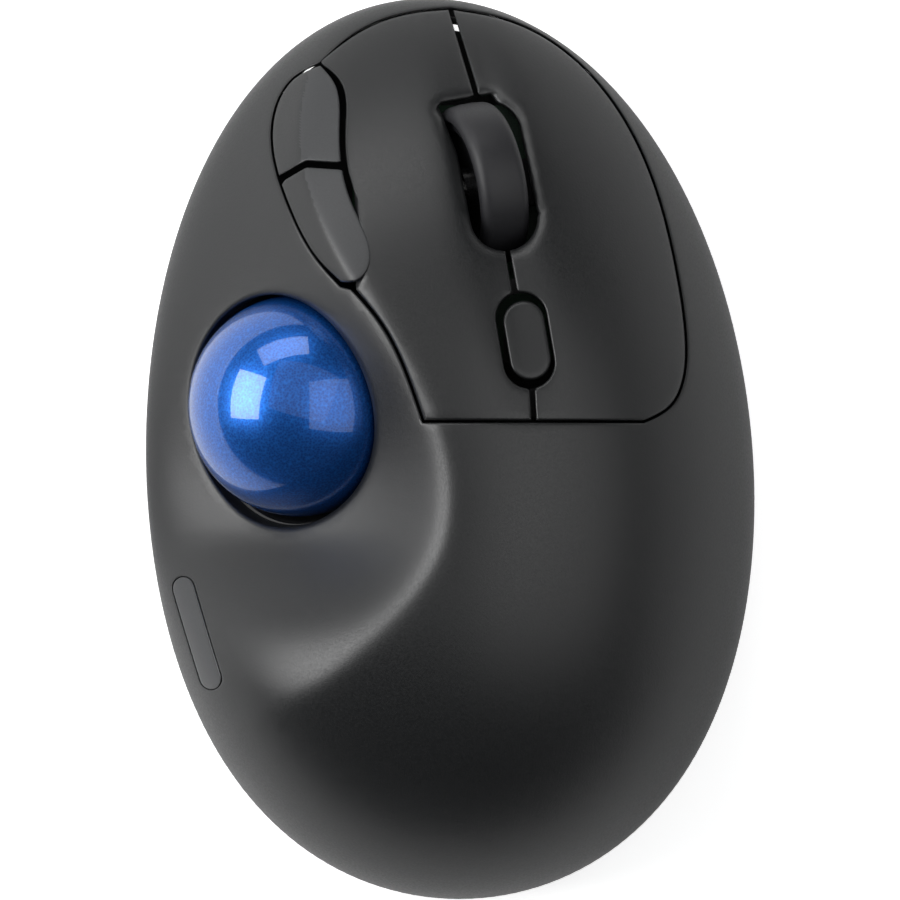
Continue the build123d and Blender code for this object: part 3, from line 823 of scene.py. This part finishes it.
class TRACKBALL_OT_inner_parts(bpy.types.Operator):
    """Finishes of the boards, switches, cell and the pieces on the underside"""
    bl_idname = "trackball.inner_parts"
    bl_label = "Inner parts"

    def execute(self, context):
        give(circuit_board("#174A2A"), "main_board", "button_board", "side_board", "sensor_board")
        give(plain_plastic("switch_case_nylon", "#161617", "#1E1E20", 0.45), "left_switch",
             "right_switch", "dpi_switch", "side_switches", "middle_switch", "power_switch",
             "mode_switch", "optical_sensor")
        give(clear_lens("#E8ECEF"), "sensor_lens")
        give(cell_sleeve("#3C3E42"), "battery")
        give(metal("nickel_plated_steel", "#BDBDB8", "#CFCFCB", 0.3), "battery_spring",
             "battery_contact", "receiver_plug")
        give(metal("zinc_plated_steel", "#8F9092", "#A0A1A3", 0.35), "screws")
        give(plain_plastic("moulded_nylon_cap", "#1D1D1F", "#262628", 0.45), "receiver_cap")
        give(plain_plastic("slider_acetal", "#4A4B4E", "#55565A", 0.4), "power_slider", "mode_button")
        give(plain_plastic("slip_pad_ptfe", "#2A2B2D", "#343538", 0.35), "feet")
        return {"FINISHED"}


# ---------------------------------------------------------------- stage

def area_light(name, place, size, power, aim=(0, 0, 0.02)):
    data = bpy.data.lights.new(name, "AREA")
    data.shape = "RECTANGLE"
    data.size, data.size_y = size
    data.energy = power
    lamp = bpy.data.objects.new(name, data)
    lamp.location = place
    lamp.rotation_euler = (Vector(aim) - Vector(place)).to_track_quat("-Z", "Y").to_euler()
    bpy.context.scene.collection.objects.link(lamp)
    return lamp


class TRACKBALL_OT_stage(bpy.types.Operator):
    """Pale floor, soft lights and the camera straight above"""
    bl_idname = "trackball.stage"
    bl_label = "Stage"

    def execute(self, context):
        scene = bpy.context.scene
        paint, tree, shader, place = surface(
            "matte_studio_floor", colours().floor,
            {"Roughness": 0.9, "Emission Color": linear(colours().floor)})
        rays = add_node(tree, "ShaderNodeLightPath")
        glow = add_node(tree, "ShaderNodeMapRange", {"To Min": 0.03, "To Max": 0.72},
                        {"Value": rays.outputs["Is Camera Ray"]})
        tree.links.new(glow.outputs["Result"], shader.inputs["Emission Strength"])
        noise = add_node(tree, "ShaderNodeTexNoise", {"Scale": 8.0}, {"Vector": place})
        vary(tree, shader, "Roughness", noise.outputs["Fac"], 0.85, 0.95)
        reach = 2000
        corners = [(-reach, -reach, 0), (reach, -reach, 0), (reach, reach, 0), (-reach, reach, 0)]
        floor = new_object("floor", corners, [(0, 1, 2, 3)], [paint])
        world = bpy.data.worlds.new("studio")
        world.use_nodes = True
        world.node_tree.nodes["Background"].inputs["Color"].default_value = (0.9, 0.95, 1.0, 1)
        world.node_tree.nodes["Background"].inputs["Strength"].default_value = 0.05
        scene.world = world
        area_light("left_softbox", (-0.68, 0.13, 0.47), (0.62, 0.50), 7.0)
        area_light("front_softbox", (-0.22, 0.76, 0.42), (0.7, 0.35), 2.4)
        area_light("front_overhead", (0.10, 0.36, 1.30), (1.7, 1.4), 3.6)
        area_light("right_overhead", (0.80, 0.0, 1.10), (1.3, 1.3), 6.0)
        area_light("right_strip", (0.724, 0.294, 0.09), (1.49, 0.03), 0.45)
        data = bpy.data.cameras.new("overhead")
        data.sensor_width = 36
        data.lens = 36 * 1100 / 139.5
        camera = bpy.data.objects.new("overhead", data)
        camera.location = (0, 0, 1.1085)
        scene.collection.objects.link(camera)
        scene.camera = camera
        scene.view_settings.view_transform = "Standard"
        return {"FINISHED"}


STEPS = (TRACKBALL_OT_stage, TRACKBALL_OT_housing, TRACKBALL_OT_main_buttons,
         TRACKBALL_OT_side_buttons, TRACKBALL_OT_dpi_button, TRACKBALL_OT_ball, TRACKBALL_OT_wheel,
         TRACKBALL_OT_window, TRACKBALL_OT_inner_parts)


class TRACKBALL_PT_panel(bpy.types.Panel):
    """Lists the pieces and their settings"""
    bl_idname = "TRACKBALL_PT_panel"
    bl_label = "Trackball Mouse"
    bl_space_type = "VIEW_3D"
    bl_region_type = "UI"
    bl_category = "Trackball Mouse"

    def draw(self, context):
        for step in STEPS:
            self.layout.operator(step.bl_idname)
        for group in (context.scene.mouse_sizes, context.scene.mouse_colours):
            for key in group.__annotations__:
                self.layout.prop(group, key)


CLASSES = (MouseSizes, MouseColours, *STEPS, TRACKBALL_PT_panel)


def register():
    for cls in CLASSES:
        bpy.utils.register_class(cls)
    bpy.types.Scene.mouse_sizes = bpy.props.PointerProperty(type=MouseSizes)
    bpy.types.Scene.mouse_colours = bpy.props.PointerProperty(type=MouseColours)


def unregister():
    del bpy.types.Scene.mouse_sizes
    del bpy.types.Scene.mouse_colours
    for cls in reversed(CLASSES):
        bpy.utils.unregister_class(cls)


def main():
    register()
    for step in STEPS:
        group, name = step.bl_idname.split(".")
        getattr(getattr(bpy.ops, group), name)()


if __name__ == "__main__":
    main()
